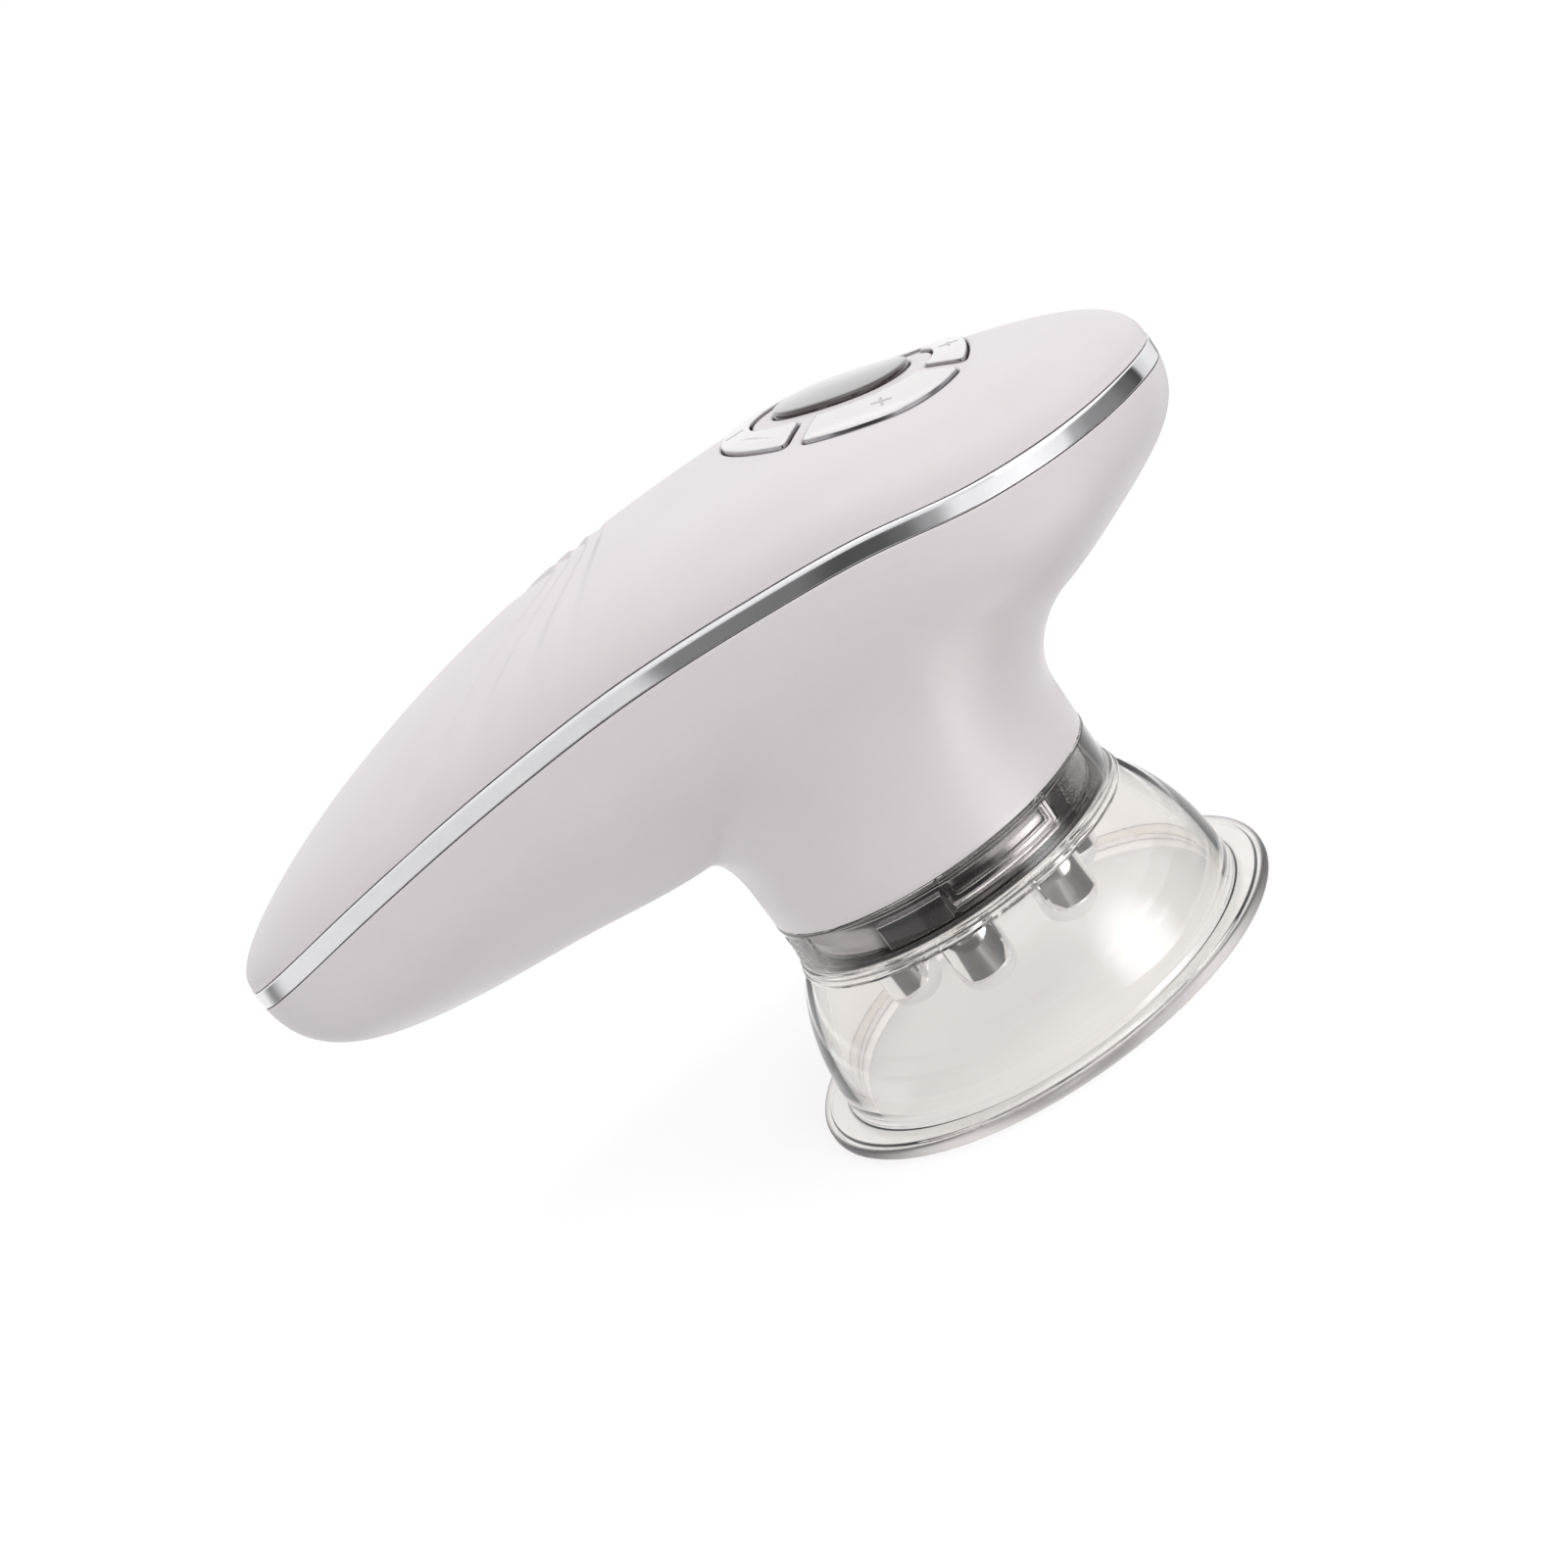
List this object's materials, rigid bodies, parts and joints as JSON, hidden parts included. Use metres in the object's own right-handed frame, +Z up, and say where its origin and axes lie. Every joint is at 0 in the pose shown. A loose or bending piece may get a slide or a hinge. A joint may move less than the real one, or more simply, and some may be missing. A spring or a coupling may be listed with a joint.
{
  "type": "vacuum massager",
  "caption": "Handheld cordless suction massager: pebble-shaped body with handle, key ring and display, on a twist-off clear bell cup with electrode posts.",
  "frame": {"origin": "under the middle of the body, on the plane that the cup's rim stands on", "axes": "+Z up along the cup's axis, +X to the nose of the head, -X to the end of the handle"},
  "size_m": [0.1868, 0.09, 0.1093],
  "materials": {
    "white_shell": "satin moulded",
    "white_key": "glossy",
    "polished_band": "polished",
    "dark_chrome": "vacuum metallised, dark",
    "dark_lens": "glossy",
    "clear_plastic": "clear",
    "steel": "plain",
    "motor_can": "plain",
    "board_green": "solder mask",
    "inner_grey": "plain",
    "silicone": "matt",
    "battery_wrap": "wrapped",
    "black_plastic": "plain"
  },
  "bodies": {
    "body": {"base_plate": "white_shell", "base_ring": "dark_chrome", "base_screw_1": "steel", "base_screw_2": "steel", "base_screw_3": "steel", "battery": "battery_wrap", "board_screw_1": "steel", "board_screw_2": "steel", "board_screw_3": "steel", "charge_board": "board_green", "charge_socket": "motor_can", "display_board": "board_green", "display_lens": "dark_lens", "display_module": "inner_grey", "electrode_board": "board_green", "frame_screw_1": "steel", "frame_screw_2": "steel", "frame_screw_3": "steel", "frame_screw_4": "steel", "inner_frame": "inner_grey", "lower_housing": "white_shell", "main_board": "board_green", "post_1": "polished_band", "post_2": "polished_band", "post_3": "polished_band", "post_4": "polished_band", "post_5": "polished_band", "post_6": "polished_band", "pump_base": "black_plastic", "pump_diaphragm": "silicone", "pump_head": "black_plastic", "pump_motor": "motor_can", "pump_tube": "silicone", "seal_ring": "silicone", "suction_nozzle": "inner_grey", "switch_front": "steel", "switch_left": "steel", "switch_rear": "steel", "switch_right": "steel", "top_housing": "white_shell", "trim_band": "polished_band", "valve_body": "inner_grey", "vent_tube": "silicone", "vibration_motor": "motor_can"},
    "key_front": {"key_front": "white_key", "plunger_front": "black_plastic"},
    "key_left": {"key_left": "white_key", "plunger_left": "black_plastic"},
    "key_rear": {"key_rear": "white_key", "plunger_rear": "black_plastic"},
    "key_right": {"key_right": "white_key", "plunger_right": "black_plastic"},
    "cup": {"cup": "clear_plastic"},
    "pump_crank": {"pump_crank": "steel"},
    "vibration_weight": {"vibration_weight": "steel"},
    "valve_plunger": {"valve_plunger": "steel"}
  },
  "joints": [
    {"name": "cup_twist", "type": "hinge", "parent": "body", "child": "cup", "pos_m": [0.01865, 0, 0], "axis": [0, 0, 1], "range_deg": [0, 46]},
    {"name": "key_front_press", "type": "slide", "parent": "body", "child": "key_front", "axis": [-0.2191, 0, -0.9757], "range_m": [0, 0.0005], "stiffness_N_per_m": 300, "springref_m": -0.001},
    {"name": "key_left_press", "type": "slide", "parent": "body", "child": "key_left", "axis": [-0.2191, 0, -0.9757], "range_m": [0, 0.0005], "stiffness_N_per_m": 300, "springref_m": -0.001},
    {"name": "key_rear_press", "type": "slide", "parent": "body", "child": "key_rear", "axis": [-0.2191, 0, -0.9757], "range_m": [0, 0.0005], "stiffness_N_per_m": 300, "springref_m": -0.001},
    {"name": "key_right_press", "type": "slide", "parent": "body", "child": "key_right", "axis": [-0.2191, 0, -0.9757], "range_m": [0, 0.0005], "stiffness_N_per_m": 300, "springref_m": -0.001},
    {"name": "pump_spin", "type": "hinge", "parent": "body", "child": "pump_crank", "pos_m": [0.01065, 0, 0.064], "axis": [0, 0, 1], "continuous": true},
    {"name": "weight_spin", "type": "hinge", "parent": "body", "child": "vibration_weight", "pos_m": [0.02765, 0, 0.0735], "axis": [1, 0, 0], "continuous": true},
    {"name": "valve_slide", "type": "slide", "parent": "body", "child": "valve_plunger", "axis": [0, 0, 1], "range_m": [0, 0.0012], "stiffness_N_per_m": 100, "springref_m": -0.001}
  ]
}
